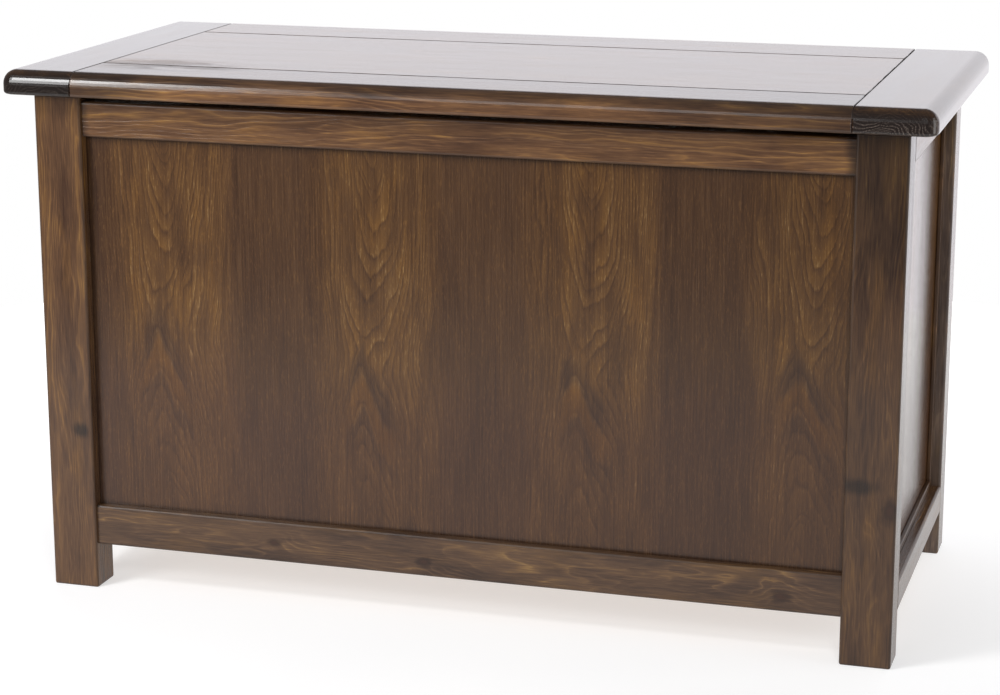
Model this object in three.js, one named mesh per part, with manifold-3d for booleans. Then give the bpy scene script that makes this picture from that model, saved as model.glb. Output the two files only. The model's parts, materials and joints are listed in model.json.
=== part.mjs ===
// A stained pine blanket chest, in millimetres, +Z up.
//
// The carcass is a frame-and-panel box: four corner posts that run down into legs, eight rails tenoned
// into them, four thin panels let into grooves, and a bottom board on battens. The lid is made of three
// long boards held between two cross-grained end boards, with a bullnose along its front and ends. It
// turns on two five-knuckle butt hinges whose barrels stand just behind the back of the carcass.
//
// The origin is at floor level under the middle of the closed chest. The front faces -Y.

import * as THREE from "three";
import { mergeVertices } from "three/addons/utils/BufferGeometryUtils.js";
import Module from "manifold-3d";

const wasm = await Module();
wasm.setup();

// ---- Driving dimensions ----------------------------------------------------------------------------

const CARCASS_WIDTH = 828;
const CARCASS_DEPTH = 376;

const POST_WIDTH = 47; // along X
const POST_DEPTH = 37; // along Y
const POST_HEIGHT = 488;

const LONG_RAILS = { lower: [44, 84], upper: [449, 482.5] }; // heights, front and back
const SIDE_RAILS = { lower: [44, 73], upper: [457, 486] };
const LONG_RAIL_SETBACK = 4; // behind the posts' faces
const LONG_RAIL_THICKNESS = 22;
const SIDE_RAIL_SETBACK = 0;
const SIDE_RAIL_THICKNESS = 24;
const ARRIS = 2.5; // rounding of the sawn timber's long edges
const POST_END_BEVEL = 1.8;

const PANEL_THICKNESS = 6;
const LONG_PANEL_SETBACK = 12; // from the posts' faces to the panel's outer face
const SIDE_PANEL_SETBACK = 14;
const GROOVE_DEPTH = 7;
const GROOVE_SLACK = 0.3;

const TENON_LENGTH = 16;
const TENON_THICKNESS = 10;
const TENON_OPEN_SHOULDER = 6; // on the rail's free edge
const TENON_PANEL_SHOULDER = 10; // on the edge that is grooved for the panel
const JOINT_SLACK = 0.3;

const BEAD_DEPTH = 4; // how far a bead stands off the side panel
const BEAD_WIDTH = 7;
const BEAD_ARRIS = 1;

const BATTEN_SIZE = 16;
const BATTEN_LOW = 47;
const BOTTOM_THICKNESS = 6;
const BOTTOM_SLACK = 1;

const BUFFER_THICKNESS = 2;
const BUFFER_RADIUS = 6;

const LID_THICKNESS = 23;
const LID_FRONT_OVERHANG = 22;
const LID_SIDE_OVERHANG = 25;
const LID_CORNER_RADIUS = 14; // in plan
const BULLNOSE_RADIUS = 13.5;
const LID_LOWER_ARRIS = 3;
const END_BOARD_WIDTH = 73;
const FRONT_BOARD_WIDTH = 75;
const BACK_BOARD_WIDTH = 76;
const BOARD_GAP = 0.4;
const V_JOINT_WIDTH = 2.2;
const TONGUE_THICKNESS = 8;
const TONGUE_LENGTH = 10;

const HINGE_LENGTH = 64;
const HINGE_INSET = 150; // from the end of the carcass to the middle of the hinge
const LEAF_REACH = 24; // from the hinge axis to the leaf's free edge
const LEAF_THICKNESS = 0.9;
const BARREL_RADIUS = 2.5;
const BARREL_CLEARANCE = 0.5;
const KNUCKLES = 5;
const KNUCKLE_GAP = 0.3;
const KNUCKLE_ROOT = 1; // how far a knuckle's tongue runs into the leaf
const PIN_RADIUS = 1.25;
const PIN_SLACK = 0.1;

const SCREW_LENGTH = 15;
const SCREW_SHANK_RADIUS = 1.6;
const SCREW_HEAD_RADIUS = 3.2;
const SCREW_HEAD_HEIGHT = 1.8;
const SCREW_SLOT = 0.8;
const SCREW_SLACK = 0.3;
const SCREW_SPACING = 22;
const SCREW_STAGGER = 3; // the middle screw sits this much further in, the outer two this much out

// How finely round shapes are divided: steps in a quarter turn, or sides in a full one.
const ARRIS_STEPS = 4;
const END_BEVEL_STEPS = 2;
const LID_CORNER_STEPS = 8;
const LOWER_ARRIS_STEPS = 3;
const BULLNOSE_STEPS = 9;
const BUFFER_SIDES = 32;
const BARREL_SIDES = 24;
const PIN_SIDES = 16;
const SCREW_SIDES = 14;

const MERGE_TOLERANCE = 1e-3; // vertices closer than this are one
const CUT_MARGIN = 1; // how far a cutting tool runs past the face that it cuts

// ---- Worked-out dimensions -------------------------------------------------------------------------

const HALF_WIDTH = CARCASS_WIDTH / 2;
const HINGE_AXIS_OFFSET = BARREL_RADIUS + BARREL_CLEARANCE; // behind the carcass
const OVERALL_DEPTH = LID_FRONT_OVERHANG + CARCASS_DEPTH + HINGE_AXIS_OFFSET + BARREL_RADIUS;
const FRONT_Y = -OVERALL_DEPTH / 2 + LID_FRONT_OVERHANG;
const BACK_Y = FRONT_Y + CARCASS_DEPTH;

const LID_LOW = POST_HEIGHT + BUFFER_THICKNESS;
const LID_TOP = LID_LOW + LID_THICKNESS;
const LID_HALF_WIDTH = HALF_WIDTH + LID_SIDE_OVERHANG;
const LID_FRONT = FRONT_Y - LID_FRONT_OVERHANG;
const LID_BACK = BACK_Y;

const AXIS_Y = BACK_Y + HINGE_AXIS_OFFSET;
const AXIS_Z = POST_HEIGHT + BUFFER_THICKNESS / 2;

const BOTTOM_LOW = BATTEN_LOW + BATTEN_SIZE;

// Each side of the carcass: which way it faces, how far its rails stand back from the posts' faces, how
// thick they are, and where the panel's outer face lies. All depths run inwards from the posts' faces.
const LONG_SIDE = {
  along: "x",
  railFace: LONG_RAIL_SETBACK,
  railThickness: LONG_RAIL_THICKNESS,
  panelFace: LONG_PANEL_SETBACK,
};
const SHORT_SIDE = {
  along: "y",
  railFace: SIDE_RAIL_SETBACK,
  railThickness: SIDE_RAIL_THICKNESS,
  panelFace: SIDE_PANEL_SETBACK,
};
const SIDES = {
  front: { ...LONG_SIDE, face: FRONT_Y, inward: 1 },
  back: { ...LONG_SIDE, face: BACK_Y, inward: -1 },
  left: { ...SHORT_SIDE, face: -HALF_WIDTH, inward: 1 },
  right: { ...SHORT_SIDE, face: HALF_WIDTH, inward: -1 },
};

// ---- Materials -------------------------------------------------------------------------------------

const material = (color, roughness, metalness) =>
  new THREE.MeshStandardMaterial({ color, roughness, metalness });

const MATERIALS = {
  stainedPine: () => material(0x4a2f1c, 0.35, 0),
  veneeredPanel: () => material(0x5a3a20, 0.4, 0),
  bareBoard: () => material(0xb08a5a, 0.75, 0),
  brass: () => material(0xb08d4c, 0.3, 1),
  steel: () => material(0xa8a8a4, 0.35, 1),
  rubber: () => material(0x1c1a19, 0.85, 0),
};

const chest = new THREE.Group();
chest.name = "blanket_chest";

function addPiece(name, geometry, finish) {
  const mesh = new THREE.Mesh(geometry, MATERIALS[finish]());
  mesh.name = name;
  chest.add(mesh);
}

// ---- Solids ----------------------------------------------------------------------------------------

function solidOf(geometry) {
  const bare = geometry.clone();
  bare.deleteAttribute("normal");
  bare.deleteAttribute("uv");
  const merged = mergeVertices(bare, MERGE_TOLERANCE);
  return new wasm.Manifold(
    new wasm.Mesh({
      numProp: 3,
      vertProperties: merged.attributes.position.array,
      triVerts: new Uint32Array(merged.index.array),
    }),
  );
}

function geometryOf(solid) {
  const made = solid.getMesh();
  const geometry = new THREE.BufferGeometry();
  geometry.setAttribute("position", new THREE.BufferAttribute(made.vertProperties, 3));
  geometry.setIndex(new THREE.BufferAttribute(made.triVerts, 1));
  geometry.computeVertexNormals();
  return geometry;
}

const cutAll = (solid, tools) => tools.reduce((rest, tool) => rest.subtract(tool), solid);
const joinAll = (solids) => solids.reduce((whole, next) => whole.add(next));

// A box between two corners.
function block(low, high) {
  const [dx, dy, dz] = [0, 1, 2].map((i) => high[i] - low[i]);
  const geometry = new THREE.BoxGeometry(dx, dy, dz);
  geometry.translate(low[0] + dx / 2, low[1] + dy / 2, low[2] + dz / 2);
  return solidOf(geometry);
}

function roundedRectangle(width, height, radius) {
  const [w, h] = [width / 2, height / 2];
  const shape = new THREE.Shape();
  shape.moveTo(w, -h + radius);
  shape.absarc(w - radius, h - radius, radius, 0, Math.PI / 2);
  shape.absarc(-w + radius, h - radius, radius, Math.PI / 2, Math.PI);
  shape.absarc(-w + radius, -h + radius, radius, Math.PI, 1.5 * Math.PI);
  shape.absarc(w - radius, -h + radius, radius, 1.5 * Math.PI, 2 * Math.PI);
  return shape;
}

// A bar between two corners that runs along one axis, with its long edges rounded and, where endBevel
// is given, its ends eased too.
function easedBar(low, high, axis, radius, endBevel = 0) {
  const size = [0, 1, 2].map((i) => high[i] - low[i]);
  const [width, height, length] = {
    x: [size[2], size[1], size[0]],
    y: [size[0], size[2], size[1]],
    z: [size[0], size[1], size[2]],
  }[axis];
  const geometry = new THREE.ExtrudeGeometry(roundedRectangle(width, height, radius), {
    depth: length - 2 * endBevel,
    curveSegments: ARRIS_STEPS,
    bevelEnabled: endBevel > 0,
    bevelThickness: endBevel,
    bevelSize: endBevel,
    bevelOffset: -endBevel,
    bevelSegments: END_BEVEL_STEPS,
  });
  geometry.translate(0, 0, -length / 2 + endBevel);
  if (axis === "x") geometry.rotateY(Math.PI / 2);
  if (axis === "y") geometry.rotateX(Math.PI / 2);
  geometry.translate(...[0, 1, 2].map((i) => (low[i] + high[i]) / 2));
  return solidOf(geometry);
}

// Two corners of a box on one side of the carcass: u along the side, d inwards from the posts' face.
function corners(side, [u0, u1], [d0, d1], [z0, z1]) {
  const { along, face, inward } = SIDES[side];
  const depths = [face + inward * d0, face + inward * d1].sort((a, b) => a - b);
  return along === "x"
    ? [[u0, depths[0], z0], [u1, depths[1], z1]]
    : [[depths[0], u0, z0], [depths[1], u1, z1]];
}

const grow = ([a, b], by) => [a - by, b + by];

// ---- The carcass -----------------------------------------------------------------------------------

// The clear span between the posts on a side.
function spanOf(side) {
  return SIDES[side].along === "x"
    ? [-HALF_WIDTH + POST_WIDTH, HALF_WIDTH - POST_WIDTH]
    : [FRONT_Y + POST_DEPTH, BACK_Y - POST_DEPTH];
}

// The back upper rail reaches the posts' tops, because the hinge leaves lie on it.
function railHeights(side, level) {
  const [low, high] = (SIDES[side].along === "x" ? LONG_RAILS : SIDE_RAILS)[level];
  return [low, side === "back" && level === "upper" ? POST_HEIGHT : high];
}

function tenonHeights(side, level) {
  const [low, high] = railHeights(side, level);
  return level === "lower"
    ? [low + TENON_OPEN_SHOULDER, high - TENON_PANEL_SHOULDER]
    : [low + TENON_PANEL_SHOULDER, high - TENON_OPEN_SHOULDER];
}

function railDepths(side) {
  const { railFace, railThickness } = SIDES[side];
  return [railFace, railFace + railThickness];
}

function tenonDepths(side) {
  const [front, back] = railDepths(side);
  const middle = (front + back) / 2;
  return [middle - TENON_THICKNESS / 2, middle + TENON_THICKNESS / 2];
}

const panelDepths = (side) => [SIDES[side].panelFace, SIDES[side].panelFace + PANEL_THICKNESS];

// The heights between the two rails, which the panel fills.
const panelHeights = (side) => [railHeights(side, "lower")[1], railHeights(side, "upper")[0]];

function grooveBlock(side) {
  return block(
    ...corners(
      side,
      grow(spanOf(side), GROOVE_DEPTH),
      grow(panelDepths(side), GROOVE_SLACK),
      grow(panelHeights(side), GROOVE_DEPTH),
    ),
  );
}

function tenonBlock(side, level, slack) {
  return block(
    ...corners(
      side,
      grow(spanOf(side), TENON_LENGTH + slack),
      grow(tenonDepths(side), slack),
      grow(tenonHeights(side, level), slack),
    ),
  );
}

function addPosts() {
  for (const [xName, x] of [["left", -HALF_WIDTH], ["right", HALF_WIDTH - POST_WIDTH]])
    for (const [yName, y] of [["front", FRONT_Y], ["back", BACK_Y - POST_DEPTH]]) {
      const post = easedBar(
        [x, y, 0],
        [x + POST_WIDTH, y + POST_DEPTH, POST_HEIGHT],
        "z",
        ARRIS,
        POST_END_BEVEL,
      );
      const sockets = [xName, yName].flatMap((side) => [
        grooveBlock(side),
        tenonBlock(side, "lower", JOINT_SLACK),
        tenonBlock(side, "upper", JOINT_SLACK),
      ]);
      addPiece(`post_${yName}_${xName}`, geometryOf(cutAll(post, sockets)), "stainedPine");
    }
}

function addRails() {
  for (const side of Object.keys(SIDES))
    for (const level of ["upper", "lower"]) {
      const body = easedBar(
        ...corners(side, spanOf(side), railDepths(side), railHeights(side, level)),
        SIDES[side].along,
        ARRIS,
      );
      const rail = body.add(tenonBlock(side, level, 0)).subtract(grooveBlock(side));
      const holes = side === "back" && level === "upper" ? hingeScrews("carcass") : [];
      addPiece(`${side}_${level}_rail`, geometryOf(cutAll(rail, holes)), "stainedPine");
    }
}

function addPanels() {
  for (const side of Object.keys(SIDES)) {
    const edge = GROOVE_DEPTH - GROOVE_SLACK;
    const panel = block(
      ...corners(side, grow(spanOf(side), edge), panelDepths(side), grow(panelHeights(side), edge)),
    );
    addPiece(`${side}_panel`, geometryOf(panel), "veneeredPanel");
  }
}

// Square beads that frame each side panel on its outer face: two long ones and two between them.
function addSideBeads() {
  for (const side of ["left", "right"]) {
    const depths = [SIDES[side].panelFace - BEAD_DEPTH, SIDES[side].panelFace];
    const [front, back] = spanOf(side);
    const [low, high] = panelHeights(side);
    const between = [low + BEAD_WIDTH, high - BEAD_WIDTH];
    const beads = {
      top: [[front, back], [high - BEAD_WIDTH, high], "y"],
      bottom: [[front, back], [low, low + BEAD_WIDTH], "y"],
      front: [[front, front + BEAD_WIDTH], between, "z"],
      back: [[back - BEAD_WIDTH, back], between, "z"],
    };
    for (const [place, [along, heights, axis]] of Object.entries(beads)) {
      const bead = easedBar(...corners(side, along, depths, heights), axis, BEAD_ARRIS);
      addPiece(`${side}_bead_${place}`, geometryOf(bead), "stainedPine");
    }
  }
}

function addBottom() {
  for (const side of Object.keys(SIDES)) {
    const innerFace = railDepths(side)[1];
    const reach = SIDES[side].along === "x" ? 0 : -BATTEN_SIZE;
    const batten = block(
      ...corners(
        side,
        grow(spanOf(side), reach),
        [innerFace, innerFace + BATTEN_SIZE],
        [BATTEN_LOW, BOTTOM_LOW],
      ),
    );
    addPiece(`bottom_batten_${side}`, geometryOf(batten), "bareBoard");
  }
  // The board is notched round the four posts.
  const x = HALF_WIDTH - railDepths("left")[1] - BOTTOM_SLACK;
  const [y0, y1] = [
    FRONT_Y + railDepths("front")[1] + BOTTOM_SLACK,
    BACK_Y - railDepths("back")[1] - BOTTOM_SLACK,
  ];
  const notchX = HALF_WIDTH - POST_WIDTH - BOTTOM_SLACK;
  const [n0, n1] = [FRONT_Y + POST_DEPTH + BOTTOM_SLACK, BACK_Y - POST_DEPTH - BOTTOM_SLACK];
  const quarter = [[x, n0], [x, n1], [notchX, n1], [notchX, y1]];
  const mirrored = [[-notchX, y1], [-notchX, n1], [-x, n1], [-x, n0], [-notchX, n0], [-notchX, y0]];
  const outline = [...quarter, ...mirrored, [notchX, y0], [notchX, n0]];
  const board = new THREE.ExtrudeGeometry(new THREE.Shape(outline.map((p) => new THREE.Vector2(...p))), {
    depth: BOTTOM_THICKNESS,
    bevelEnabled: false,
  });
  board.translate(0, 0, BOTTOM_LOW);
  addPiece("bottom_board", geometryOf(solidOf(board)), "bareBoard");
}

// Soft discs on the front posts hold the lid level with the hinge leaves.
function addBuffers() {
  for (const [name, sign] of [["left", -1], ["right", 1]]) {
    const disc = new THREE.CylinderGeometry(BUFFER_RADIUS, BUFFER_RADIUS, BUFFER_THICKNESS, BUFFER_SIDES);
    disc.rotateX(Math.PI / 2);
    disc.translate(
      sign * (HALF_WIDTH - POST_WIDTH / 2),
      FRONT_Y + POST_DEPTH / 2,
      POST_HEIGHT + BUFFER_THICKNESS / 2,
    );
    addPiece(`lid_buffer_${name}`, geometryOf(solidOf(disc)), "rubber");
  }
}

// ---- The lid ---------------------------------------------------------------------------------------

// The lid's plan at one height, anticlockwise from above: its front and ends drawn in by inset, its
// back edge straight.
function lidOutline(inset) {
  const points = [
    [LID_HALF_WIDTH - inset, LID_BACK],
    [-LID_HALF_WIDTH + inset, LID_BACK],
  ];
  for (const [sign, start] of [[-1, Math.PI], [1, 1.5 * Math.PI]])
    for (let i = 0; i <= LID_CORNER_STEPS; i++) {
      const angle = start + ((Math.PI / 2) * i) / LID_CORNER_STEPS;
      const radius = LID_CORNER_RADIUS - inset;
      points.push([
        sign * (LID_HALF_WIDTH - LID_CORNER_RADIUS) + radius * Math.cos(angle),
        LID_FRONT + LID_CORNER_RADIUS + radius * Math.sin(angle),
      ]);
    }
  return points;
}

// The whole lid before it is parted into boards: outlines stacked from the lower arris, up the square
// edge and round the bullnose to the top.
function lidBlank() {
  const quarter = (steps) => Array.from({ length: steps + 1 }, (_, i) => (Math.PI / 2) * (i / steps));
  const levels = [
    ...quarter(LOWER_ARRIS_STEPS).map((a) => [
      LID_LOWER_ARRIS * (1 - Math.sin(a)),
      LID_LOW + LID_LOWER_ARRIS * (1 - Math.cos(a)),
    ]),
    ...quarter(BULLNOSE_STEPS).map((a) => [
      BULLNOSE_RADIUS * (1 - Math.cos(a)),
      LID_TOP - BULLNOSE_RADIUS * (1 - Math.sin(a)),
    ]),
  ];
  const rings = levels.map(([inset, z]) => lidOutline(inset).map(([x, y]) => [x, y, z]));
  const count = rings[0].length;
  const index = [];
  for (let level = 0; level + 1 < rings.length; level++)
    for (let i = 0; i < count; i++) {
      const [a, b] = [level * count + i, level * count + ((i + 1) % count)];
      index.push(a, b, b + count, a, b + count, a + count);
    }
  const topStart = (rings.length - 1) * count;
  for (let i = 1; i + 1 < count; i++) {
    index.push(0, i + 1, i);
    index.push(topStart, topStart + i, topStart + i + 1);
  }
  const geometry = new THREE.BufferGeometry();
  geometry.setAttribute("position", new THREE.Float32BufferAttribute(rings.flat(2), 3));
  geometry.setIndex(index);
  return solidOf(geometry);
}

// A square rod turned on its edge, which cuts a V along a joint.
function vCutter(length, axis, position) {
  const side = V_JOINT_WIDTH / Math.SQRT2;
  const size = axis === "x" ? [length, side, side] : [side, length, side];
  const rod = axis === "z" ? new THREE.BoxGeometry(side, side, length) : new THREE.BoxGeometry(...size);
  if (axis === "x") rod.rotateX(Math.PI / 4);
  if (axis === "y") rod.rotateY(Math.PI / 4);
  if (axis === "z") rod.rotateZ(Math.PI / 4);
  rod.translate(...position);
  return solidOf(rod);
}

function addLid() {
  const endJoint = LID_HALF_WIDTH - END_BOARD_WIDTH;
  const frontJoint = LID_FRONT + FRONT_BOARD_WIDTH;
  const backJoint = LID_BACK - BACK_BOARD_WIDTH;
  const half = BOARD_GAP / 2;
  const middleY = (LID_FRONT + LID_BACK) / 2;
  const [farX, farY] = [2 * LID_HALF_WIDTH, 2 * CARCASS_DEPTH];

  const joints = [-endJoint, endJoint].flatMap((x) => [
    vCutter(farY, "y", [x, middleY, LID_TOP]),
    vCutter(2 * LID_THICKNESS, "z", [x, LID_FRONT, LID_LOW]),
  ]);
  joints.push(vCutter(2 * endJoint, "x", [0, frontJoint, LID_TOP]));
  joints.push(vCutter(2 * endJoint, "x", [0, backJoint, LID_TOP]));
  const blank = cutAll(lidBlank(), joints);

  const tongueLow = LID_LOW + (LID_THICKNESS - TONGUE_THICKNESS) / 2;
  const tongueHeights = [tongueLow, tongueLow + TONGUE_THICKNESS];
  const bar = ([x0, x1], [y0, y1], [z0, z1]) => block([x0, y0, z0], [x1, y1, z1]);
  const whole = grow([LID_LOW, LID_TOP], CUT_MARGIN);

  // The end boards' grooves stop short of the front edge, and so do the tongues.
  const tongueStop = LID_FRONT + LID_CORNER_RADIUS + TONGUE_LENGTH;
  const tongueEnd = endJoint - half + TONGUE_LENGTH;
  const endGroove = bar(
    grow([-tongueEnd, tongueEnd], JOINT_SLACK),
    [tongueStop - JOINT_SLACK, farY],
    grow(tongueHeights, JOINT_SLACK),
  );
  for (const [name, sign] of [["left", -1], ["right", 1]]) {
    const range = [sign * (endJoint + half), sign * farX].sort((a, b) => a - b);
    const board = blank.intersect(bar(range, [-farY, farY], whole)).subtract(endGroove);
    addPiece(`lid_end_board_${name}`, geometryOf(board), "stainedPine");
  }

  const longBoard = (y0, y1) => {
    const tongueDepths = [Math.max(y0, tongueStop), Math.min(y1, LID_BACK)];
    return blank
      .intersect(bar([-endJoint + half, endJoint - half], [y0, y1], whole))
      .add(bar([-tongueEnd, tongueEnd], tongueDepths, tongueHeights));
  };
  const front = longBoard(-farY, frontJoint - half);
  const centre = longBoard(frontJoint + half, backJoint - half);
  const back = longBoard(backJoint + half, farY);

  // The centre board's tongues run the full length of the joints with its neighbours.
  const edgeTongue = (slack) =>
    bar(
      grow([-tongueEnd, tongueEnd], slack),
      grow([frontJoint - TONGUE_LENGTH, backJoint + TONGUE_LENGTH], slack),
      grow(tongueHeights, slack),
    );
  addPiece("lid_front_board", geometryOf(front.subtract(edgeTongue(JOINT_SLACK))), "stainedPine");
  addPiece("lid_centre_board", geometryOf(centre.add(edgeTongue(0))), "stainedPine");
  const drilledBack = cutAll(back.subtract(edgeTongue(JOINT_SLACK)), hingeScrews("lid"));
  addPiece("lid_back_board", geometryOf(drilledBack), "stainedPine");
}

// ---- The hinges ------------------------------------------------------------------------------------

const HINGES = { left: -HALF_WIDTH + HINGE_INSET, right: HALF_WIDTH - HINGE_INSET };

// A leaf lies against the wood: the carcass leaf on the back rail, the lid leaf under the back board.
const LEAF_HEIGHTS = {
  carcass: [POST_HEIGHT, POST_HEIGHT + LEAF_THICKNESS],
  lid: [LID_LOW - LEAF_THICKNESS, LID_LOW],
};

function rodAlongX(radius, x0, x1, segments) {
  const rod = new THREE.CylinderGeometry(radius, radius, x1 - x0, segments);
  rod.rotateZ(-Math.PI / 2);
  rod.translate((x0 + x1) / 2, AXIS_Y, AXIS_Z);
  return solidOf(rod);
}

// Knuckles take turns along the barrel: the even ones belong to the carcass leaf.
function knuckleSpans(middle, half) {
  const pitch = HINGE_LENGTH / KNUCKLES;
  return Array.from({ length: KNUCKLES }, (_, i) => i)
    .filter((i) => (half === "carcass" ? i % 2 === 0 : i % 2 === 1))
    .map((i) => {
      const start = middle - HINGE_LENGTH / 2 + i * pitch;
      return [start + KNUCKLE_GAP / 2, start + pitch - KNUCKLE_GAP / 2];
    });
}

function hingeLeaf(middle, half) {
  const [z0, z1] = LEAF_HEIGHTS[half];
  const plateBack = AXIS_Y - BARREL_RADIUS - BARREL_CLEARANCE / 2;
  const plate = block(
    [middle - HINGE_LENGTH / 2, AXIS_Y - LEAF_REACH, z0],
    [middle + HINGE_LENGTH / 2, plateBack, z1],
  );
  const knuckles = knuckleSpans(middle, half).flatMap(([x0, x1]) => [
    block([x0, plateBack - KNUCKLE_ROOT, z0], [x1, AXIS_Y, z1]),
    rodAlongX(BARREL_RADIUS, x0, x1, BARREL_SIDES),
  ]);
  const leaf = joinAll([plate, ...knuckles]);
  const reach = HINGE_LENGTH / 2 + CUT_MARGIN;
  const bore = rodAlongX(PIN_RADIUS + PIN_SLACK, middle - reach, middle + reach, PIN_SIDES);
  return cutAll(leaf.subtract(bore), hingeScrews(half));
}

// A countersunk screw standing head up with its head's face at z = 0.
function screwProfile(slack) {
  const [head, shank] = [SCREW_HEAD_RADIUS + slack, SCREW_SHANK_RADIUS + slack];
  const tip = SCREW_LENGTH + slack;
  const outline = [[0, -tip], [shank, -tip + 2 * shank], [shank, -SCREW_HEAD_HEIGHT], [head, 0]];
  const top = slack ? [[head, LEAF_THICKNESS], [0, LEAF_THICKNESS]] : [[0, 0]];
  return [...outline, ...top].map(([r, z]) => new THREE.Vector2(r, z));
}

function screwSolid(slack) {
  const turned = new THREE.LatheGeometry(screwProfile(slack), SCREW_SIDES);
  turned.rotateX(Math.PI / 2);
  const screw = solidOf(turned);
  if (slack) return screw;
  const slot = block(
    [-SCREW_HEAD_RADIUS, -SCREW_SLOT / 2, -SCREW_SLOT],
    [SCREW_HEAD_RADIUS, SCREW_SLOT / 2, CUT_MARGIN],
  );
  return screw.subtract(slot);
}

// Where one leaf's screws sit, and whether they point down into the rail or up into the lid.
function screwPlaces(half) {
  const y = AXIS_Y - BARREL_RADIUS - (LEAF_REACH - BARREL_RADIUS) / 2;
  const up = half === "lid";
  const z = up ? LEAF_HEIGHTS.lid[0] : LEAF_HEIGHTS.carcass[1];
  return Object.entries(HINGES).flatMap(([name, middle]) =>
    [-1, 0, 1].map((step, i) => ({
      name: `hinge_${name}_${half}_screw_${i + 1}`,
      position: [middle + step * SCREW_SPACING, y + (step ? SCREW_STAGGER : -SCREW_STAGGER), z],
      up,
    })),
  );
}

function placedScrew(place, slack) {
  const turned = place.up ? screwSolid(slack).rotate([180, 0, 0]) : screwSolid(slack);
  return turned.translate(place.position);
}

// The clearance holes for one leaf's screws, as solids to cut away.
function hingeScrews(half) {
  return screwPlaces(half).map((place) => placedScrew(place, SCREW_SLACK));
}

function addHinges() {
  for (const [name, middle] of Object.entries(HINGES)) {
    for (const half of ["carcass", "lid"])
      addPiece(`hinge_${name}_${half}_leaf`, geometryOf(hingeLeaf(middle, half)), "brass");
    const pin = rodAlongX(PIN_RADIUS, middle - HINGE_LENGTH / 2, middle + HINGE_LENGTH / 2, PIN_SIDES);
    addPiece(`hinge_${name}_pin`, geometryOf(pin), "steel");
  }
  for (const half of ["carcass", "lid"])
    for (const place of screwPlaces(half))
      addPiece(place.name, geometryOf(placedScrew(place, 0)), "brass");
}

addPosts();
addRails();
addPanels();
addSideBeads();
addBottom();
addBuffers();
addLid();
addHinges();

export default chest;
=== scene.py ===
"""Scene of the stained-pine blanket chest: finishes for every CAD node, floor, studio light and camera.

Lengths are in metres and places are in the shared frame: x to the right, -y out of the front, z up.
"""

import json
import math
import random
from functools import reduce

import bpy
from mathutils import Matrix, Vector


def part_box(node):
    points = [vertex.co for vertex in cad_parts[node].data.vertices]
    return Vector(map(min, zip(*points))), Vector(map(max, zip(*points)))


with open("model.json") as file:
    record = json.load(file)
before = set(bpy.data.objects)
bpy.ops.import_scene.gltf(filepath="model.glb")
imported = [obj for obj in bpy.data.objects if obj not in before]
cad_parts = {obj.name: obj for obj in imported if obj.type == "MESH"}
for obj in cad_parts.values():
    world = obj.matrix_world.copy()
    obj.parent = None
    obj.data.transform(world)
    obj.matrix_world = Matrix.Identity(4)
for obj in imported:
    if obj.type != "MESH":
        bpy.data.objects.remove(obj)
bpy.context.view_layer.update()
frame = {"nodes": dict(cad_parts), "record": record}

AXES = {"x": 0, "y": 1, "z": 2}
HALF = (0.5, 0.5, 0.5)


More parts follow.
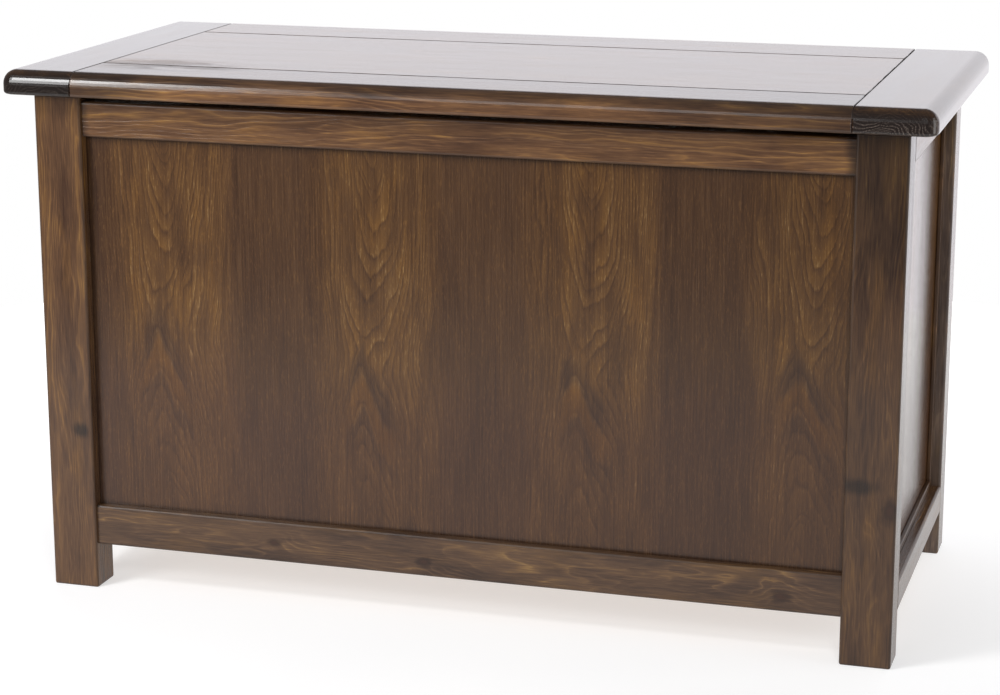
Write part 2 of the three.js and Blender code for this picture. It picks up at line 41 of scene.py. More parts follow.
# ---------------------------------------------------------------- node trees
class Nodes:
    """Builds one material. Most methods add a node and give back its output socket."""

    def __init__(self, name):
        self.material = bpy.data.materials.new(name)
        self.material.use_nodes = True
        self.tree = self.material.node_tree
        self.shader = self.tree.nodes["Principled BSDF"]
        self.where = self.add("ShaderNodeTexCoord").outputs["Object"]
        self.facing = self.where.node.outputs["Normal"]

    def add(self, kind, inputs=None, **settings):
        """A new node itself, with its settings made and its inputs fed."""
        node = self.tree.nodes.new(kind)
        for key, value in settings.items():
            setattr(node, key, value)
        for key, value in (inputs or {}).items():
            self.feed(node.inputs[key], value)
        return node

    def feed(self, socket, value):
        if isinstance(value, bpy.types.NodeSocket):
            self.tree.links.new(value, socket)
        else:
            socket.default_value = value

    def math(self, operation, *values):
        return self.add("ShaderNodeMath", dict(enumerate(values)), operation=operation).outputs[0]

    def total(self, *values):
        return reduce(lambda first, second: self.math("ADD", first, second), values)

    def product(self, *values):
        return reduce(lambda first, second: self.math("MULTIPLY", first, second), values)

    def minus(self, first, second):
        return self.math("SUBTRACT", first, second)

    def absolute(self, value):
        return self.math("ABSOLUTE", value)

    def vector(self, operation, *values, out=0):
        return self.add(
            "ShaderNodeVectorMath", dict(enumerate(values)), operation=operation
        ).outputs[out]

    def scaled(self, vector, factor):
        node = self.add("ShaderNodeVectorMath", {0: vector}, operation="SCALE")
        self.feed(node.inputs["Scale"], factor)
        return node.outputs[0]

    def length(self, vector):
        return self.vector("LENGTH", vector, out="Value")

    def split(self, vector):
        return self.add("ShaderNodeSeparateXYZ", {0: vector}).outputs

    def join(self, x, y, z):
        return self.add("ShaderNodeCombineXYZ", {0: x, 1: y, 2: z}).outputs[0]

    def noise(self, vector, detail=2.0, roughness=0.5, colour=False):
        node = self.add(
            "ShaderNodeTexNoise",
            {"Vector": vector, "Scale": 1.0, "Detail": detail, "Roughness": roughness},
        )
        return node.outputs["Color" if colour else "Fac"]

    def noise_along(self, value, scale):
        return self.add(
            "ShaderNodeTexNoise", {"W": value, "Scale": scale, "Detail": 1.0}, noise_dimensions="1D"
        ).outputs["Fac"]

    def remap(self, value, low, high, to_low=0.0, to_high=1.0, smooth=True):
        return self.add(
            "ShaderNodeMapRange",
            {0: value, 1: low, 2: high, 3: to_low, 4: to_high},
            interpolation_type="SMOOTHSTEP" if smooth else "LINEAR",
        ).outputs[0]

    def ramp(self, value, stops):
        """Colours between stops; a stop's colour may be one number, for a grey."""
        node = self.add("ShaderNodeValToRGB", {0: value})
        elements = node.color_ramp.elements
        while len(elements) < len(stops):
            elements.new(1.0)
        for element, (place, colour) in zip(elements, stops):
            element.position = place
            rgb = (colour,) * 3 if isinstance(colour, float) else colour
            element.color = (*rgb, 1.0)
        return node.outputs[0]

    def mix(self, factor, first, second, blend="MIX"):
        node = self.add("ShaderNodeMix", data_type="RGBA", blend_type=blend, clamp_factor=True)
        for socket, value in ((0, factor), (6, first), (7, second)):
            if not isinstance(value, bpy.types.NodeSocket) and socket:
                value = (*value, 1.0)
            self.feed(node.inputs[socket], value)
        return node.outputs[2]

    def times(self, colour, filter_colour):
        """The colour seen through a coloured filter."""
        return self.mix(1.0, colour, filter_colour, "MULTIPLY")

    def tint(self, colour, factor):
        """The colour times a number."""
        return self.times(colour, self.join(factor, factor, factor))

    def bump(self, height, distance, strength):
        return self.add(
            "ShaderNodeBump", {"Height": height, "Distance": distance, "Strength": strength}
        ).outputs[0]

    def finish(self, **sockets):
        """Feeds the shader's sockets, named with underscores, and gives back the material."""
        for key, value in sockets.items():
            self.feed(self.shader.inputs[key.replace("_", " ")], value)
        return self.material


def stretched(n, along, across, grain, seed):
    """Object coordinates for a noise that is drawn out along the grain."""
    density = [across] * 3
    density[AXES[grain]] = along
    moved = n.vector("MULTIPLY", n.where, tuple(density))
    return n.vector("ADD", moved, (seed * 7.31, seed * 3.17, seed * 5.77))


def axis_of(node):
    """The axis along which a node is longest, which is its grain's."""
    low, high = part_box(node)
    spans = [high[i] - low[i] for i in range(3)]
    return "xyz"[spans.index(max(spans))]


def middle_of(box):
    return (Vector(box[0]) + Vector(box[1])) / 2


def half_spans(box):
    return (Vector(box[1]) - Vector(box[0])) / 2


# ---------------------------------------------------------------- solid pine
LACQUER_IOR = 1.42
PINE_COLOURS = (
    (0.00, (0.021, 0.0095, 0.0058)),
    (0.28, (0.056, 0.0270, 0.0138)),
    (0.52, (0.097, 0.0480, 0.0215)),
    (0.76, (0.155, 0.0790, 0.0270)),
    (1.00, (0.250, 0.1350, 0.0370)),
)
GOLD = (1.42, 1.38, 1.00)  # filter for the honey-coloured patches
STAIN_AND_SHADE = (0.30, 0.33, 0.42)  # filter for the dark patches: stains, and painted shade
END_GRAIN_DARK = (0.026, 0.0160, 0.0125)
END_GRAIN_LIGHT = (0.310, 0.2450, 0.2050)
KNOT_COLOUR = (0.020, 0.0085, 0.0055)
KNOT_HEART = (0.048, 0.0190, 0.0100)
RUBBED_WOOD = (0.230, 0.115, 0.045)
JOINT_SHADOW = (0.020, 0.010, 0.007)

RING_WARP = 0.042  # how far the rings wander about the pith line
PORE_DENSITY = 1100.0
EDGE_STAIN_AND_SHADE = 0.52  # of the darkening along the edges: stain that gathers there, and painted edge shade
EDGE_STAIN_AND_SHADE_TINT = 0.38
PINE_BUMP = 0.00022
JOINT_LINE = {"x": 0.0008, "y": 0.0024}  # width across each axis; y is foreshortened
END_BAND = (0.015, 0.010)  # depths under the lid's top between which the end boards' arcs fade


def faded(colours, amount):
    """The same stops with their colours drawn towards grey."""
    greys = [sum(colour) / 3 for _, colour in colours]
    return tuple(
        (place, tuple(c + amount * (grey - c) for c in colour))
        for (place, colour), grey in zip(colours, greys)
    )


def pith_distance(n, box, grain, pith, lean, wander, seed):
    """Distance to the tree's middle, which runs roughly along the grain."""
    index = AXES[grain]
    middle = middle_of(box)
    centre, drift, mask = [0.0] * 3, [0.0] * 3, [1.0] * 3
    mask[index] = 0.0
    others = [axis for axis in range(3) if axis != index]
    for axis, shift, slope in zip(others, pith, lean):
        centre[axis] = middle[axis] + shift
        drift[axis] = slope
    from_middle = n.minus(n.split(n.where)[index], middle[index])
    warp = n.noise(stretched(n, 4.2, 20.0, grain, seed), 3.0, colour=True)
    warp = n.scaled(n.vector("SUBTRACT", warp, HALF), RING_WARP * wander)
    offset = n.vector("SUBTRACT", n.where, tuple(centre))
    offset = n.vector("SUBTRACT", offset, n.scaled(tuple(drift), from_middle))
    return n.length(n.vector("MULTIPLY", n.vector("ADD", offset, warp), tuple(mask)))


def growth_rings(n, radius, spacing, grain, seed):
    """Light latewood lines in a darker ground, each ending sharply on its outer side."""
    tremble = n.noise(stretched(n, 30.0, 160.0, grain, seed + 2))
    phase = n.total(
        n.product(radius, 1.0 / spacing),
        n.product(n.noise_along(radius, 70.0), 2.2),
        n.product(tremble, 0.35),
    )
    return n.ramp(
        n.math("FRACT", phase),
        ((0.0, 0.30), (0.12, 0.06), (0.50, 0.0), (0.78, 0.55), (0.92, 1.0), (1.0, 0.30)),
    )


def knot_field(n, knots, grain):
    """Knots that run straight out of the front; gives back ring swell, dark rim and heart."""
    swells, rims, hearts = [], [], []
    for place, radius, stretch in knots:
        scale = [1.0 / radius] * 3
        scale[AXES[grain]] /= stretch
        scale[AXES["y"]] = 0.0
        cloud = n.noise(n.scaled(n.where, 90.0), colour=True)
        wobble = n.scaled(n.vector("SUBTRACT", cloud, HALF), 1.5 * radius)
        offset = n.vector("ADD", n.vector("SUBTRACT", n.where, place), wobble)
        reach = n.length(n.vector("MULTIPLY", offset, tuple(scale)))
        swells.append(n.product(n.remap(reach, 0.0, 4.5, 1.0, 0.0), radius * 1.3))
        rims.append(n.remap(reach, 0.5, 1.6, 1.0, 0.0))
        hearts.append(n.remap(reach, 0.1, 0.9, 1.0, 0.0))

    def strongest(masks):
        return reduce(lambda first, second: n.math("MAXIMUM", first, second), masks)

    return n.total(*swells), strongest(rims), strongest(hearts)


def edge_distance(n, box):
    """Distance from a point on a boxy piece's surface to its nearest long edge."""
    from_middle = n.vector("ABSOLUTE", n.vector("SUBTRACT", n.where, tuple(middle_of(box))))
    a, b, c = n.split(n.vector("SUBTRACT", tuple(half_spans(box)), from_middle))
    smaller, larger = n.math("MINIMUM", a, b), n.math("MAXIMUM", a, b)
    return n.math("MAXIMUM", smaller, n.math("MINIMUM", larger, c))


def across_grain(n, grain):
    """How squarely the surface cuts the grain: 0 on long faces, 1 on sawn ends."""
    towards = [0.0] * 3
    towards[AXES[grain]] = 1.0
    turn = n.absolute(n.vector("DOT_PRODUCT", n.facing, tuple(towards), out="Value"))
    return n.remap(turn, 0.45, 0.92)


def end_grain(n, box, grain, rings, strength):
    """Pale arcs of pores on a sawn end; on the lid's end boards they stay below the rounding."""
    pores = n.noise(n.scaled(n.where, PORE_DENSITY), 2.0, 0.6)
    arcs = n.product(rings, n.remap(pores, 0.40, 0.62, 0.0, strength))
    if grain == "y":
        low, high = (box[1][2] - depth for depth in END_BAND)
        arcs = n.product(arcs, n.remap(n.split(n.where)[2], low, high, 1.0, 0.15))
    return n.mix(arcs, END_GRAIN_DARK, END_GRAIN_LIGHT)


def reach_of(n, place, inverse_reach):
    """Distance from a place, as a part of the reach along each axis."""
    return n.length(n.vector("MULTIPLY", n.vector("SUBTRACT", n.where, place), inverse_reach))


def with_stains_and_shade(n, colour, cloud, stains_and_shade):
    """Darker round each given place, with a ragged edge; some places are stains and some are painted
    shade.
    """
    for place, inverse_reach, amount in stains_and_shade:
        reach = n.total(reach_of(n, place, inverse_reach), n.product(n.minus(cloud, 0.5), 1.2))
        dark = n.product(n.remap(reach, 0.2, 1.0, 1.0, 0.0), amount)
        colour = n.mix(dark, colour, n.times(colour, STAIN_AND_SHADE))
    return colour


def joint_line(n, axis, place, rub):
    """A dark line where two boards of the lid meet, on faces that look up."""
    off = n.absolute(n.minus(n.split(n.where)[AXES[axis]], place))
    ragged = n.total(off, n.product(n.minus(rub, 0.5), 0.0022))
    width = JOINT_LINE[axis]
    line = n.remap(ragged, 0.4 * width, width, 1.0, 0.0)
    return n.product(line, n.remap(n.split(n.facing)[2], 0.2, 0.6))


def dull_patch(n, place, inverse_reach, grain, seed):
    """Where the lacquer has lost its shine, drawn out along the grain."""
    near = n.remap(reach_of(n, place, inverse_reach), 0.45, 1.0, 1.0, 0.0)
    cloud = n.noise(stretched(n, 14.0, 60.0, grain, seed + 29), 3.0, 0.6)
    return n.product(near, n.remap(cloud, 0.34, 0.52))


def pine(
    name, box, grain, pith, lean, spacing, seed, wander=1.0, knots=(), stains_and_shade=(), joints=(),
    colours=PINE_COLOURS, tone=1.0, streak=1.0, end_arcs=1.0, edges=1.0, rough=0.24, relief=1.0,
    bare=False, dull=None,
):
    """Flat-sawn pine: rings about a pith line, drawn fibres, knots, end grain, and handled edges
    darkened by gathered stain and painted shade.

    pith is where the tree's middle passes, on the two axes across the grain from the piece's own
    middle, and lean is how far it shifts on them for each metre along the grain. bare leaves the
    underside without lacquer.
    """
    n = Nodes(name)
    radius = pith_distance(n, box, grain, pith, lean, wander, seed)
    if knots:
        swell, rim, heart = knot_field(n, knots, grain)
        radius = n.total(radius, swell)
    rings = growth_rings(n, radius, spacing, grain, seed)

    patch = n.noise(stretched(n, 8.0, 48.0, grain, seed + 5), 4.0, 0.6)
    fibre = n.noise(stretched(n, 34.0, 820.0, grain, seed + 9), 3.0, 0.6)
    fleck = n.noise(stretched(n, 60.0, 900.0, grain, seed + 13), 1.0)
    broken = n.remap(n.noise(stretched(n, 9.0, 60.0, grain, seed + 17)), 0.34, 0.70, 0.08, 1.0)
    golden = n.noise(stretched(n, 11.0, 44.0, grain, seed + 19), 3.0, 0.55)
    rub = n.noise(stretched(n, 25.0, 25.0, grain, seed + 21), 3.0, 0.6)
    orange_peel = n.noise(stretched(n, 18.0, 55.0, grain, seed + 25), 1.0)
    sawn = across_grain(n, grain)
    gap = edge_distance(n, box)

    shade = n.total(
        n.product(rings, broken, 0.34 * streak),
        n.remap(fibre, 0.28, 0.72, 0.0, 0.28, smooth=False),
        n.remap(patch, 0.25, 0.75, 0.0, 0.46, smooth=False),
        n.remap(fleck, 0.58, 0.78, 0.0, 0.18),
    )
    colour = n.ramp(shade, colours)
    colour = n.mix(n.product(n.remap(golden, 0.50, 0.72), 0.75), colour, n.times(colour, GOLD))
    if knots:
        colour = n.mix(n.product(rim, 0.8), colour, KNOT_COLOUR)
        colour = n.mix(n.product(heart, 0.7), colour, KNOT_HEART)
    colour = n.mix(sawn, colour, end_grain(n, box, grain, rings, end_arcs))

    # Painted shade along the edges, together with the stain that gathers there.
    edge_stain_and_shade = n.product(n.remap(gap, 0.0006, 0.0034, 1.0, 0.0), EDGE_STAIN_AND_SHADE * edges)
    worn = n.product(
        n.remap(gap, 0.0, 0.0022, 1.0, 0.0), n.remap(rub, 0.56, 0.72, 0.0, 0.55 * edges)
    )
    colour = n.mix(edge_stain_and_shade, colour, n.tint(colour, EDGE_STAIN_AND_SHADE_TINT))
    colour = n.mix(worn, colour, RUBBED_WOOD)
    # Stains, and painted shade, darken the given places.
    colour = n.tint(with_stains_and_shade(n, colour, patch, stains_and_shade), tone)

    height = n.total(n.product(rings, 0.35), n.product(fibre, 0.65))
    height = n.product(height, n.remap(sawn, 0.0, 1.0, 1.0, 0.12))
    height = n.total(height, n.product(orange_peel, 1.1))
    gloss = n.total(n.product(patch, 0.12), n.product(fibre, 0.10), n.product(sawn, 0.06))
    gloss = n.total(
        n.product(gloss, relief),
        rough - 0.11 * relief,
        n.product(n.remap(gap, 0.001, 0.003, 1.0, 0.0), 0.2 * edges),
    )
    for axis, place in joints:
        line = joint_line(n, axis, place, rub)
        colour = n.mix(line, colour, JOINT_SHADOW)
        gloss = n.total(gloss, n.product(line, 0.5))
    if dull:
        lost = n.product(dull_patch(n, *dull, grain, seed), 0.44)
        n.finish(Specular_IOR_Level=n.minus(0.5, lost))
    if bare:
        below = n.remap(n.split(n.facing)[2], -0.9, -0.5, 1.0, 0.0)
        gloss = n.total(gloss, n.product(below, 0.45))
    return n.finish(
        Base_Color=colour, Roughness=gloss, IOR=LACQUER_IOR,
        Normal=n.bump(height, PINE_BUMP, 0.8 * relief),
    )


# ---------------------------------------------------------------- veneered panels
VENEER_COLOURS = (
    (0.00, (0.026, 0.0115, 0.0050)),
    (0.28, (0.056, 0.0250, 0.0095)),
    (0.52, (0.084, 0.0385, 0.0130)),
    (0.76, (0.122, 0.0580, 0.0170)),
    (1.00, (0.205, 0.1200, 0.0480)),
)
PLAIN_TINT = (0.95, 0.96, 1.08)  # filter between the figures
LOWER_TINT = (0.92, 0.89, 1.05)  # filter under the saddles
TONGUE_TINT = (1.16, 1.10, 0.88)
PEAK_TINT = (0.66, 0.67, 0.84)

SADDLE_HEIGHT = 0.262  # of the figures' waists above the floor
CROWN_DEPTH = 0.034  # from the cut to the tree's middle, at the waist
CROWN_BEND = 0.24
LEAF_HEART = 0.655  # how far across a leaf its figure's middle lies
VENEER_RING = 0.0034
IN_GROOVE = 0.007  # a panel's edge that the frame hides
POOL_AND_SHADE_WIDTH = 0.005  # of the darkening along the frame: pooled lacquer, and painted shade of the recess
POOL_AND_SHADE_TINT = 0.58
VENEER_BUMP = 0.0002


def crown_figure(n, inside, up, from_saddle, leaf_seed, seed):
    """Rings of a crown cut, with the warped place u across and v up that they were drawn at."""
    drawn = n.join(n.product(inside, 16.0), leaf_seed, n.product(up, 4.5))
    drawn = n.vector("ADD", drawn, (seed, seed * 2.3, seed * 1.7))
    slow = n.split(n.vector("SUBTRACT", n.noise(drawn, colour=True), HALF))
    jag = n.join(n.product(inside, 120.0), leaf_seed, n.product(up, 34.0))
    jag = n.noise(jag, 3.0, 0.6)

    u = n.total(inside, n.product(slow[0], 0.052))
    v = n.total(from_saddle, n.product(slow[1], 0.110))
    rise = n.product(n.math("POWER", n.absolute(v), 1.3), CROWN_BEND)
    below = n.minus(CROWN_DEPTH, rise)
    radius = n.math("SQRT", n.total(n.product(u, u), n.product(below, below)))
    phase = n.total(
        n.product(radius, 1.0 / VENEER_RING),
        n.product(jag, 0.9),
        n.product(n.noise_along(radius, 110.0), 2.6),
    )
    rings = n.ramp(
        n.math("FRACT", phase),
        ((0.0, 0.0), (0.10, 0.30), (0.30, 0.62), (0.62, 0.80), (0.84, 1.0), (0.93, 0.55), (1.0, 0.0)),
    )
    return rings, u, v, jag


def peaks_and_tongues(n, colour, u, v, jag):
    """Under the saddle hang a dark peak, a golden tongue and a fainter dark peak."""
    ragged = n.product(n.minus(jag, 0.5), 0.016)
    drop = n.total(n.product(n.absolute(u), 1.7), n.total(v, ragged))
    peaks = n.ramp(
        n.remap(drop, 0.030, -0.110, smooth=False),
        ((0.10, 0.5), (0.22, 0.16), (0.38, 0.12), (0.46, 0.95),
         (0.60, 0.80), (0.68, 0.22), (0.74, 0.30), (0.92, 0.5)),
    )
    near_middle = n.remap(n.absolute(u), 0.010, 0.026, 1.0, 0.0)
    lit = n.product(n.remap(peaks, 0.5, 1.0, smooth=False), near_middle)
    dark = n.product(n.remap(peaks, 0.5, 0.1, smooth=False), near_middle)
    colour = n.mix(lit, colour, n.times(colour, TONGUE_TINT))
    return n.mix(dark, colour, n.times(colour, PEAK_TINT))


def pooled_lacquer_and_shade(n, box, across, up, axis):
    """A tint that darkens towards the frame round the panel: pooled lacquer, and painted shade of the
    recess.
    """
    middle, half = middle_of(box), half_spans(box)
    sides = n.minus(half[axis] - IN_GROOVE, n.absolute(n.minus(across, middle[axis])))
    ends = n.minus(half[2] - IN_GROOVE, n.absolute(n.minus(up, middle[2])))
    return n.remap(n.math("MINIMUM", sides, ends), 0.0, POOL_AND_SHADE_WIDTH, POOL_AND_SHADE_TINT, 1.0)


def veneer(name, box, width_axis, leaf, start, seed, rough, ior, relief, tone=1.0, steps=(0.0,)):
    """Crown-cut leaves laid side by side, each with much the same hourglass figure.

    leaf is a leaf's width and start is where the first one begins. steps says how far each leaf's
    figure sits above or below the saddle height.
    """
    n = Nodes(name)
    axis = AXES[width_axis]
    parts = n.split(n.where)
    across, up = parts[axis], parts[2]
    place = n.product(n.minus(across, start), 1.0 / leaf)
    number = n.math("FLOOR", place)
    inside = n.product(n.minus(n.math("FRACT", place), LEAF_HEART), leaf)
    step = steps[0]
    for row, (before, here) in enumerate(zip(steps, steps[1:])):
        past = n.math("GREATER_THAN", number, row + 0.5)
        step = n.total(step, n.product(past, here - before))
    from_saddle = n.minus(n.minus(up, SADDLE_HEIGHT), step)
    leaf_seed = n.product(number, 0.13)
    rings, u, v, jag = crown_figure(n, inside, up, from_saddle, leaf_seed, seed)
    figure = n.remap(n.absolute(n.minus(u, 0.008)), 0.040, 0.078, 1.0, 0.0)
    above = n.remap(from_saddle, -0.085, 0.010)

    fibre = n.noise(stretched(n, 12.0, 560.0, "z", seed + 3), 3.0, 0.6)
    fleck = n.noise(stretched(n, 190.0, 1050.0, "z", seed + 7), 1.0)
    golden = n.noise(stretched(n, 13.0, 42.0, "z", seed + 9), 3.0, 0.55)
    patch = n.noise(stretched(n, 3.5, 20.0, "z", seed + 11), 3.0)
    broken = n.remap(n.noise(stretched(n, 14.0, 70.0, "z", seed + 15)), 0.30, 0.62, 0.25, 1.0)
    wave = n.noise(stretched(n, 9.0, 30.0, "z", seed + 19), 1.0)

    clear = n.total(n.product(figure, n.remap(above, 0.0, 1.0, 0.15, 0.33, smooth=False)), 0.12)
    shade = n.total(
        n.product(rings, broken, clear),
        n.remap(fibre, 0.28, 0.72, 0.0, 0.34, smooth=False),
        n.remap(patch, 0.25, 0.75, 0.0, 0.24, smooth=False),
        n.remap(fleck, 0.54, 0.74, 0.0, 0.24),
    )
    colour = n.ramp(shade, VENEER_COLOURS)
    colour = n.mix(figure, n.times(colour, PLAIN_TINT), colour)
    glow = n.product(n.remap(golden, 0.46, 0.70), figure, n.remap(above, 0.2, 1.0, 0.1, 0.50))
    colour = n.mix(glow, colour, n.times(colour, GOLD))
    colour = n.mix(above, n.times(colour, LOWER_TINT), colour)
    colour = peaks_and_tongues(n, colour, u, v, jag)

    leaf_tone = n.total(n.product(n.noise_along(number, 3.7), 0.16), 0.92)
    leaf_tone = n.minus(leaf_tone, n.product(number, 0.045))
    colour = n.tint(colour, leaf_tone)
    # Painted shade of the recess along the frame, with pooled lacquer.
    colour = n.tint(colour, pooled_lacquer_and_shade(n, box, across, up, axis))
    colour = n.tint(colour, tone)

    height = n.total(n.product(fibre, 0.8), n.product(fleck, 0.5), n.product(wave, 1.4))
    gloss = n.total(n.product(patch, 0.10), n.product(fibre, 0.14), rough)
    return n.finish(
        Base_Color=colour, Roughness=gloss, IOR=ior, Normal=n.bump(height, VENEER_BUMP, relief)
    )


# ---------------------------------------------------------------- inside boards and fittings
def plywood(name, seed, grain):
    """Thin rotary-cut board left without stain."""
    n = Nodes(name)
    flame = n.noise(stretched(n, 2.2, 11.0, grain, seed), 3.0)
    rings = n.math("FRACT", n.product(flame, 13.0))
    rings = n.ramp(rings, ((0.0, 0.2), (0.7, 0.55), (0.93, 1.0), (1.0, 0.2)))
    fibre = n.noise(stretched(n, 14.0, 520.0, grain, seed + 3), 3.0, 0.6)
    shade = n.total(n.product(rings, 0.4), n.product(fibre, 0.6))
    colour = n.ramp(shade, ((0.15, (0.46, 0.29, 0.145)), (0.85, (0.285, 0.150, 0.062))))
    gloss = n.total(n.product(fibre, 0.2), 0.45)
    return n.finish(Base_Color=colour, Roughness=gloss, Normal=n.bump(fibre, 0.00015, 0.6))


def brass(name):
    """Rolled brass with a patchy tarnish."""
    n = Nodes(name)
    tarnish = n.noise(n.scaled(n.where, 160.0), 4.0, 0.6)
    rolled = n.noise(n.vector("MULTIPLY", n.where, (60.0, 2500.0, 2500.0)), 2.0, 0.6)
    colour = n.ramp(
        tarnish,
        ((0.25, (0.21, 0.135, 0.055)), (0.5, (0.42, 0.285, 0.120)), (0.75, (0.56, 0.400, 0.190))),
    )
    gloss = n.total(n.product(tarnish, 0.22), n.product(rolled, 0.16), 0.20)
    return n.finish(
        Base_Color=colour, Roughness=gloss, Metallic=1.0, Normal=n.bump(rolled, 0.00004, 0.5)
    )


def steel(name):
    """Bright drawn wire."""
    n = Nodes(name)
    drawn = n.noise(n.vector("MULTIPLY", n.where, (40.0, 2000.0, 2000.0)), 3.0, 0.6)
    colour = n.ramp(drawn, ((0.3, (0.30, 0.29, 0.28)), (0.7, (0.56, 0.55, 0.53))))
    gloss = n.total(n.product(drawn, 0.25), 0.2)
    return n.finish(
        Base_Color=colour, Roughness=gloss, Metallic=1.0, Normal=n.bump(drawn, 0.00003, 0.5)
    )


def rubber(name):
    """Matt black rubber with dust on it."""
    n = Nodes(name)
    dust = n.noise(n.scaled(n.where, 700.0), 3.0, 0.6)
    colour = n.ramp(dust, ((0.3, (0.012, 0.011, 0.010)), (0.8, (0.045, 0.042, 0.038))))
    gloss = n.total(n.product(dust, 0.3), 0.5)
    return n.finish(Base_Color=colour, Roughness=gloss, Normal=n.bump(dust, 0.0001, 0.5))


# ---------------------------------------------------------------- finishes on the nodes
LID_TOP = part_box("lid_front_board")[1][2]
LID_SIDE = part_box("lid_end_board_right")[1][0]
LID_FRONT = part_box("lid_front_board")[0][1]
LID_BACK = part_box("lid_back_board")[1][1]
END_JOINT = LID_SIDE - 0.0732
FRONT_JOINT = LID_FRONT + 0.0752
BACK_JOINT = LID_BACK - 0.0762
END_JOINTS = (("x", END_JOINT), ("x", -END_JOINT))
LONG_JOINTS = (("y", FRONT_JOINT), ("y", BACK_JOINT))
LID_FINISH = dict(relief=0.35, bare=True, edges=0.0)
INNER_BOARD = dict(joints=END_JOINTS + LONG_JOINTS, **LID_FINISH)
END_BOARD = dict(joints=END_JOINTS, rough=0.17, **LID_FINISH)

# Pieces whose grain the photo shows. A knot is (place, radius, stretch along the grain) and runs
# through from front to back. A stain or painted shade is (place, 1 / reach on each axis, amount),
# where 0.0 lets it run on without end along that axis, and dull has the same place and reach.
PLACED = {
    "front_upper_rail": dict(
        pith=(0.050, -0.062), lean=(0.004, 0.012), spacing=0.0040, seed=3.0, tone=1.35, streak=1.05,
        # Painted shade at both ends, where the rail meets the posts.
        stains_and_shade=(
            ((-0.3670, 0.0, 0.0), (110.0, 0.0, 0.0), 0.7),
            ((0.3670, 0.0, 0.0), (80.0, 0.0, 0.0), 0.95),
        ),
    ),
    "front_lower_rail": dict(
        pith=(0.060, 0.040), lean=(0.003, -0.010), spacing=0.0036, seed=8.0, tone=0.86,
        streak=1.1, wander=1.3, colours=faded(PINE_COLOURS, 0.12),
        knots=(
            ((-0.1816, 0.0, 0.0627), 0.0045, 1.5),
            ((-0.0297, 0.0, 0.0583), 0.0050, 1.4),
            ((0.3121, 0.0, 0.0582), 0.0055, 1.5),
        ),
    ),
    "post_front_left": dict(
        pith=(0.045, 0.060), lean=(0.010, 0.006), spacing=0.0029, seed=5.0, tone=1.02,
        stains_and_shade=(((-0.3790, 0.0, 0.1605), (85.0, 0.0, 95.0), 1.0),),
    ),
    "post_front_right": dict(
        pith=(-0.055, 0.060), lean=(-0.012, 0.004), spacing=0.0034, seed=12.0, tone=0.77, streak=0.7,
        knots=(((0.4083, 0.0, 0.1493), 0.0065, 1.7),),
        stains_and_shade=(
            ((0.3780, 0.0, 0.1700), (34.0, 0.0, 95.0), 0.9),
            # Painted shade: darker towards the top of the post, under the lid.
            ((0.3900, 0.0, 0.4700), (0.0, 0.0, 6.5), 0.75),
        ),
    ),
    # Painted reflection: its colours drawn towards grey and brightened, for the pale sheen on its
    # faces.
    "post_back_right": dict(tone=1.6, colours=faded(PINE_COLOURS, 0.50)),
    "lid_front_board": dict(
        pith=(0.010, -0.075), lean=(0.010, 0.012), spacing=0.0044, seed=21.0, tone=1.6, rough=0.21,
        stains_and_shade=(
            ((-0.335, 0.0, 0.50), (11.0, 0.0, 40.0), 0.9),
            # Painted shade: a dark band along the top of the rounded front edge, for the dark
            # reflection there.
            ((0.0, 0.0, LID_TOP), (0.0, 0.0, 75.0), 0.85),
            # Painted shade: the front board darker towards its right end, away from the lamps.
            ((0.400, 0.0, 0.0), (3.6, 0.0, 0.0), 0.75),
        ),
        dull=((-0.300, -0.130, 0.0), (9.0, 24.0, 0.0)), **INNER_BOARD
    ),
    "lid_centre_board": dict(
        pith=(0.020, -0.070), lean=(0.030, 0.004), spacing=0.0052, seed=24.0, rough=0.20,
        dull=((-0.310, -0.115, 0.0), (9.0, 26.0, 0.0)), **INNER_BOARD
    ),
    "lid_back_board": dict(
        pith=(-0.012, -0.060), lean=(0.012, 0.006), spacing=0.0048, seed=27.0, rough=0.20,
        **INNER_BOARD
    ),
    "lid_end_board_left": dict(
        pith=(0.012, -0.040), lean=(0.010, 0.004), spacing=0.0036, seed=31.0, tone=0.36,
        end_arcs=0.3, **END_BOARD
    ),
    "lid_end_board_right": dict(
        pith=(-0.016, -0.022), lean=(-0.008, 0.004), spacing=0.0027, seed=34.0, tone=0.46,
        **END_BOARD
    ),
}
LONG_PANEL = dict(
    width_axis="x", leaf=0.2068, start=-0.4259, steps=(0.016, -0.012, 0.0, 0.022), tone=0.93,
    rough=0.14, ior=LACQUER_IOR, relief=0.5,
)
SIDE_PANEL = dict(width_axis="y", leaf=0.190, start=-0.196, rough=0.03, ior=1.5, relief=0.4)
PANELS = {
    "front_panel": dict(seed=55.0, **LONG_PANEL),
    "back_panel": dict(seed=54.0, **LONG_PANEL),
    "left_panel": dict(seed=44.0, **SIDE_PANEL),
    "right_panel": dict(seed=45.0, **SIDE_PANEL),
}


def own_random(node):
    return random.Random("chest " + node)


def stained_pine(node):
    """Every piece comes from a place of its own in the tree."""
    draw = own_random(node)
    turn = draw.uniform(0.5, 1.1) * draw.choice((-1, 1))
    reach = draw.uniform(0.060, 0.095)
    values = dict(
        pith=(reach * math.cos(turn), reach * math.sin(turn)),
        lean=(draw.uniform(-0.012, 0.012), draw.uniform(-0.008, 0.008)),
        spacing=draw.uniform(0.0042, 0.0054),
        seed=draw.uniform(2.0, 90.0),
    )
    values.update(PLACED.get(node, {}))
    return pine(node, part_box(node), axis_of(node), **values)


def veneered_panel(node):
    return veneer(node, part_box(node), **PANELS[node])


def plain_board(node):
    return plywood(node, own_random(node).uniform(1, 50), axis_of(node))


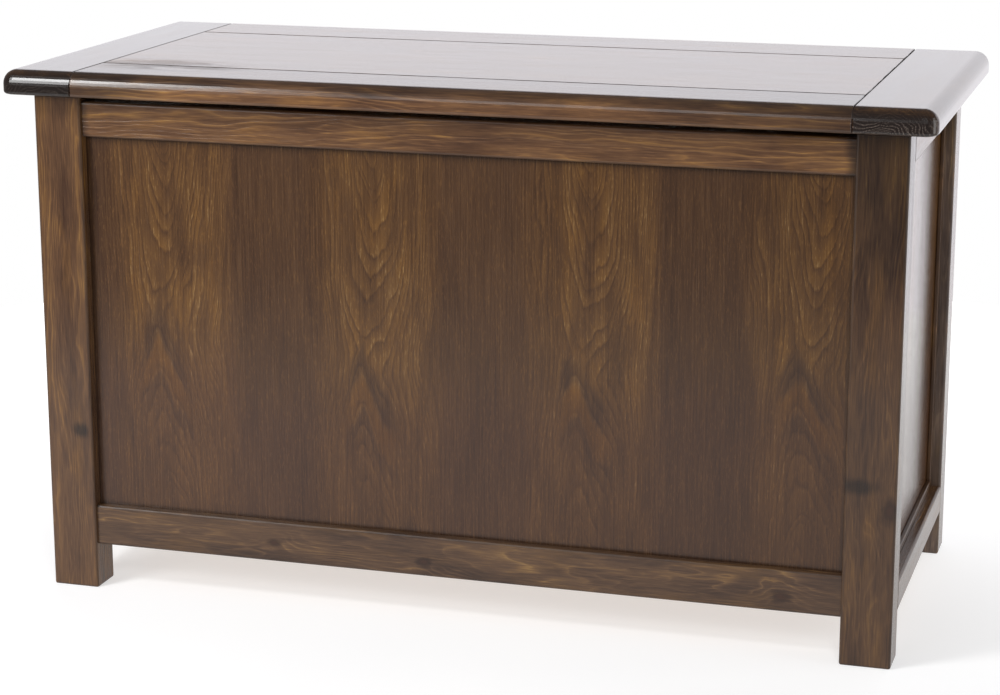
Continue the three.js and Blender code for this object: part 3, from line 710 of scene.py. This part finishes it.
OWN_FINISHES = {
    "stained_pine": stained_pine,
    "veneered_panel": veneered_panel,
    "plain_board": plain_board,
}
SHARED_FINISHES = {
    "brass": brass("brass"),
    "steel_pin": steel("steel"),
    "rubber_buffer": rubber("rubber"),
}
for part in frame["record"]["subparts"]:
    node, slot = part["node"], part["material_slot"]
    finish = OWN_FINISHES[slot](node) if slot in OWN_FINISHES else SHARED_FINISHES[slot]
    frame["nodes"][node].material_slots[0].material = finish

# Flat faces stay flat and eased edges turn smoothly.
SMOOTH_UNDER = math.radians(52)
for ob in frame["nodes"].values():
    mesh = ob.data
    mesh.polygons.foreach_set("use_smooth", [True] * len(mesh.polygons))
    mesh.set_sharp_from_angle(angle=SMOOTH_UNDER)
    weigh = ob.modifiers.new("weigh", "WEIGHTED_NORMAL")
    weigh.keep_sharp = True
    weigh.weight = 50
    weigh.mode = "FACE_AREA_WITH_ANGLE"

# ---------------------------------------------------------------- floor and light
FLOOR_RADIUS = 1.35
FLOOR_SIDES = 96


def floor():
    """A round white light table; the studio beyond it is as white to the camera."""
    mesh = bpy.data.meshes.new("floor")
    angles = [math.tau * i / FLOOR_SIDES for i in range(FLOOR_SIDES)]
    corners = [(FLOOR_RADIUS * math.cos(t), FLOOR_RADIUS * math.sin(t), 0.0) for t in angles]
    mesh.from_pydata(corners, [], [tuple(range(FLOOR_SIDES))])
    ob = bpy.data.objects.new("floor", mesh)
    bpy.context.collection.objects.link(ob)
    n = Nodes("floor")
    speckle = n.noise(n.scaled(n.where, 3.0), 3.0)
    colour = n.ramp(speckle, ((0.3, (0.50, 0.50, 0.505)), (0.7, (0.52, 0.52, 0.52))))
    behind = n.remap(n.split(n.where)[1], -0.3, 1.2, 0.52, 1.15)
    rim = n.remap(n.length(n.where), 0.85, FLOOR_RADIUS, 0.52, 0.80)
    mesh.materials.append(n.finish(
        Base_Color=colour, Roughness=0.7, Specular_IOR_Level=0.1,
        Emission_Color=(1.0, 1.0, 1.0, 1.0), Emission_Strength=n.math("MAXIMUM", behind, rim),
    ))


def softbox(name, place, aim, size, radiance, colour=(1.0, 1.0, 1.0)):
    """A lit rectangle that the camera doesn't see; radiance is its brightness at any size."""
    light = bpy.data.lights.new(name, "AREA")
    light.shape = "RECTANGLE"
    light.size, light.size_y = size
    light.energy = radiance * math.pi * size[0] * size[1]
    light.color = colour
    ob = bpy.data.objects.new(name, light)
    ob.location = place
    ob.rotation_euler = (Vector(aim) - Vector(place)).to_track_quat("-Z", "Y").to_euler()
    ob.visible_camera = False
    bpy.context.collection.objects.link(ob)


def studio():
    """White to the camera, a dim grey to the chest."""
    world = bpy.data.worlds.new("studio")
    bpy.context.scene.world = world
    world.use_nodes = True
    nodes, links = world.node_tree.nodes, world.node_tree.links
    seen = nodes.new("ShaderNodeBackground")
    seen.inputs["Color"].default_value = (1.0, 1.0, 1.0, 1.0)
    around = nodes["Background"]
    around.inputs["Color"].default_value = (0.24, 0.24, 0.25, 1.0)
    path = nodes.new("ShaderNodeLightPath")
    blend = nodes.new("ShaderNodeMixShader")
    links.new(path.outputs["Is Camera Ray"], blend.inputs[0])
    links.new(around.outputs[0], blend.inputs[1])
    links.new(seen.outputs[0], blend.inputs[2])
    links.new(blend.outputs[0], nodes["World Output"].inputs["Surface"])
    bpy.context.scene.view_settings.view_transform = "Standard"


floor()
softbox("backdrop", (0.0, 3.2, 0.25), (0.0, 0.0, 0.25), (7.0, 3.7), 1.34, (0.975, 0.955, 1.0))
softbox("key", (-1.38, -1.50, 1.85), (-0.1, -0.1, 0.4), (0.60, 0.40), 38.0)
softbox("front", (-1.45, -1.90, 1.0), (-0.1, 0.0, 0.35), (0.9, 0.6), 14.5)
softbox("right", (3.0, 0.1, 0.7), (0.4, 0.0, 0.3), (1.8, 2.2), 3.0)
softbox("corner", (1.10, -2.50, 1.90), (0.43, -0.2, 0.5), (0.5, 0.6), 24.0)
softbox("strip", (-0.40, -2.20, 1.25), (0.1, -0.2, 0.5), (0.8, 0.4), 4.0)
studio()

# ---------------------------------------------------------------- camera
CAMERA_PLACE = (0.6964, -2.3610, 0.8471)
CAMERA_DOWN = math.radians(14.13)  # below the horizon
CAMERA_TURN = math.radians(16.59)  # to the left of straight back
SENSOR_WIDTH = 36.0  # in millimetres, like the lens
CAMERA_LENS = 92.2

camera = bpy.data.cameras.new("camera")
camera.sensor_width = SENSOR_WIDTH
camera.lens = CAMERA_LENS
eye = bpy.data.objects.new("camera", camera)
bpy.context.collection.objects.link(eye)
eye.location = CAMERA_PLACE
eye.rotation_euler = (math.radians(90) - CAMERA_DOWN, 0.0, CAMERA_TURN)
bpy.context.scene.camera = eye
